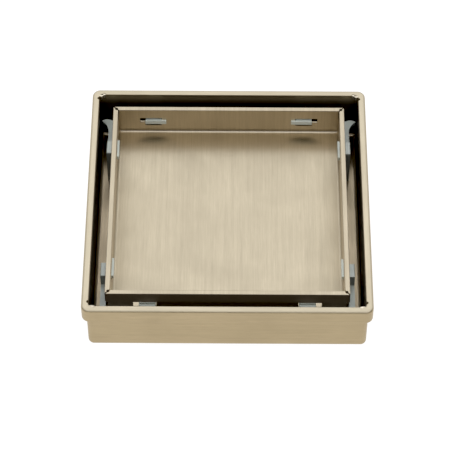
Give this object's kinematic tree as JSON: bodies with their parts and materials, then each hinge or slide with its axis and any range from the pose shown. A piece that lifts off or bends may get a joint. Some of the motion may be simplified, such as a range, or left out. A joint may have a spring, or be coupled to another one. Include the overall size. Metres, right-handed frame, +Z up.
{
  "type": "floor drain grate",
  "caption": "Square tile-insert floor drain: hemmed metal pan with a round outlet, and a lift-out tray for a cut tile, spaced from the pan by plastic corner clips.",
  "frame": {"origin": "bottom centre of the whole drain, in the middle of the outlet tube's mouth", "axes": "+Z up, square to the finished floor; X and Y along the sides of the square rim; rim level at z = 0.056 m"},
  "size_m": [0.115, 0.115, 0.056],
  "materials": {
    "pan_metal": "brushed champagne nickel plating",
    "tube_metal": "satin",
    "tray_metal": "brushed champagne nickel plating",
    "clip_plastic": "moulded, slightly satin"
  },
  "bodies": {
    "pan": {"frame_pan": "pan_metal", "outlet_tube": "tube_metal"},
    "tray": {"tile_tray": "tray_metal", "clip_front_left": "clip_plastic", "clip_front_right": "clip_plastic", "clip_back_left": "clip_plastic", "clip_back_right": "clip_plastic"}
  },
  "joints": [
    {"name": "tray_lift", "type": "slide", "parent": "pan", "child": "tray", "axis": [0, 0, 1], "range_m": [0, 0.04]}
  ]
}
